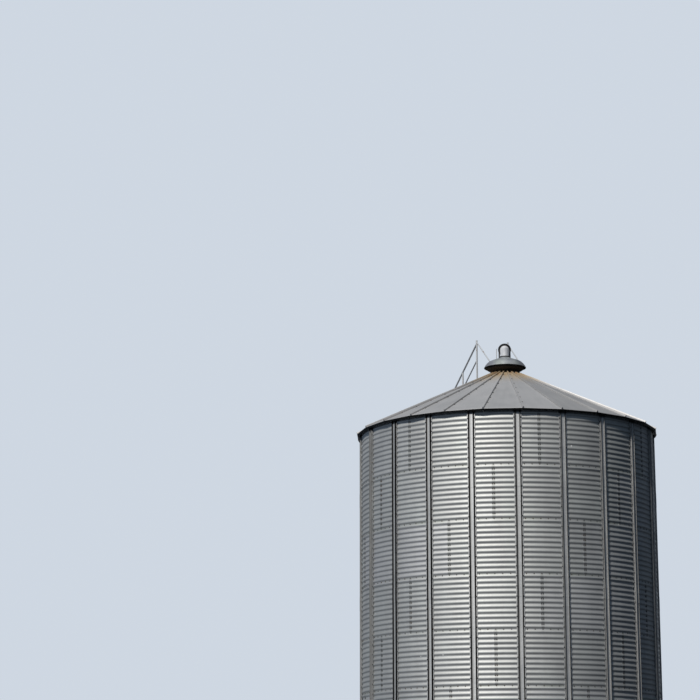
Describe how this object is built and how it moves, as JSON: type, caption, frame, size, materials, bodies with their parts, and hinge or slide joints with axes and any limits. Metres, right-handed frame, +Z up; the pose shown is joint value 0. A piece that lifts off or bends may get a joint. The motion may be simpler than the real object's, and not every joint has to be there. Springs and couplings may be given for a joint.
{
  "type": "corrugated steel grain silo",
  "caption": "Round corrugated steel grain silo with outside stiffeners, a panelled cone roof, an inlet hood with an elbow, and a railed roof stair.",
  "frame": {"origin": "on the ground at the centre of the shell", "axes": "+Z up along the silo's axis; the front stiffener is at -Y, and the roof stair is at the rear, a little to -X"},
  "size_m": [6.5812, 6.5835, 12.4494],
  "materials": {
    "sheet_steel": "weathered galvanized corrugated sheet, dull silver",
    "stiffener_steel": "galvanized folded steel, dull grey",
    "roof_steel": "weathered galvanized roof sheet, grey with tan rust stain near the peak",
    "rusty_steel": "rusted steel, matt brown",
    "hood_steel": "weathered galvanized sheet, pale grey",
    "pipe_steel": "galvanized pipe, pale and fairly smooth",
    "dark_steel": "dark weathered steel",
    "walkway_steel": "hot-dip galvanized tube and bar, dull grey"
  },
  "bodies": {
    "root": {"base_ring": "stiffener_steel", "clamp_ring": "dark_steel", "hood": "hood_steel", "inlet_elbow": "pipe_steel", "left_handrail": "walkway_steel", "left_stay": "walkway_steel", "right_handrail": "walkway_steel", "right_stay": "walkway_steel", "roof_collar": "rusty_steel", "roof_sector_1": "roof_steel", "roof_sector_2": "roof_steel", "roof_sector_3": "roof_steel", "roof_sector_4": "roof_steel", "roof_sector_5": "roof_steel", "roof_stair": "walkway_steel", "stiffener_01": "stiffener_steel", "stiffener_02": "stiffener_steel", "stiffener_03": "stiffener_steel", "stiffener_04": "stiffener_steel", "stiffener_05": "stiffener_steel", "stiffener_06": "stiffener_steel", "stiffener_07": "stiffener_steel", "stiffener_08": "stiffener_steel", "stiffener_09": "stiffener_steel", "stiffener_10": "stiffener_steel", "stiffener_11": "stiffener_steel", "stiffener_12": "stiffener_steel", "stiffener_13": "stiffener_steel", "stiffener_14": "stiffener_steel", "stiffener_15": "stiffener_steel", "stiffener_16": "stiffener_steel", "stiffener_17": "stiffener_steel", "stiffener_18": "stiffener_steel", "stiffener_19": "stiffener_steel", "stiffener_20": "stiffener_steel", "stiffener_21": "stiffener_steel", "wall_strip_1": "sheet_steel", "wall_strip_2": "sheet_steel", "wall_strip_3": "sheet_steel", "wall_strip_4": "sheet_steel", "wall_strip_5": "sheet_steel", "wall_strip_6": "sheet_steel", "wall_strip_7": "sheet_steel"}
  },
  "joints": []
}
